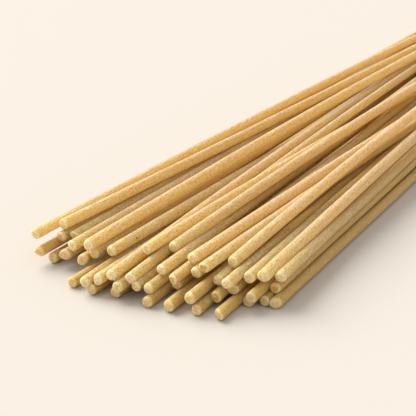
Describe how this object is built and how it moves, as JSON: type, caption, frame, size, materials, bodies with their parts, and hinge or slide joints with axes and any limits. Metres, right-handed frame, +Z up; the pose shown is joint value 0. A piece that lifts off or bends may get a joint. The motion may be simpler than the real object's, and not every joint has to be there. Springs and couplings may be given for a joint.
{
  "type": "bundle of dry spaghetti",
  "caption": "Loose bundle of long, thin, straight dry pasta strands lying flat, fanned out and ragged at one end and gathered towards the other.",
  "frame": {"origin": "middle of the bounding box's underside, on the surface that the bundle lies on", "axes": "+Y along the strands from the fanned, ragged end to the gathered end, +Z up, +X to the right seen from the ragged end"},
  "size_m": [0.0484, 0.2766, 0.012],
  "materials": {
    "dry_pasta": "matte and faintly grainy, slightly translucent, paler on the cut ends"
  },
  "bodies": {
    "root": {"spaghetti_bundle": "dry_pasta"}
  },
  "joints": []
}
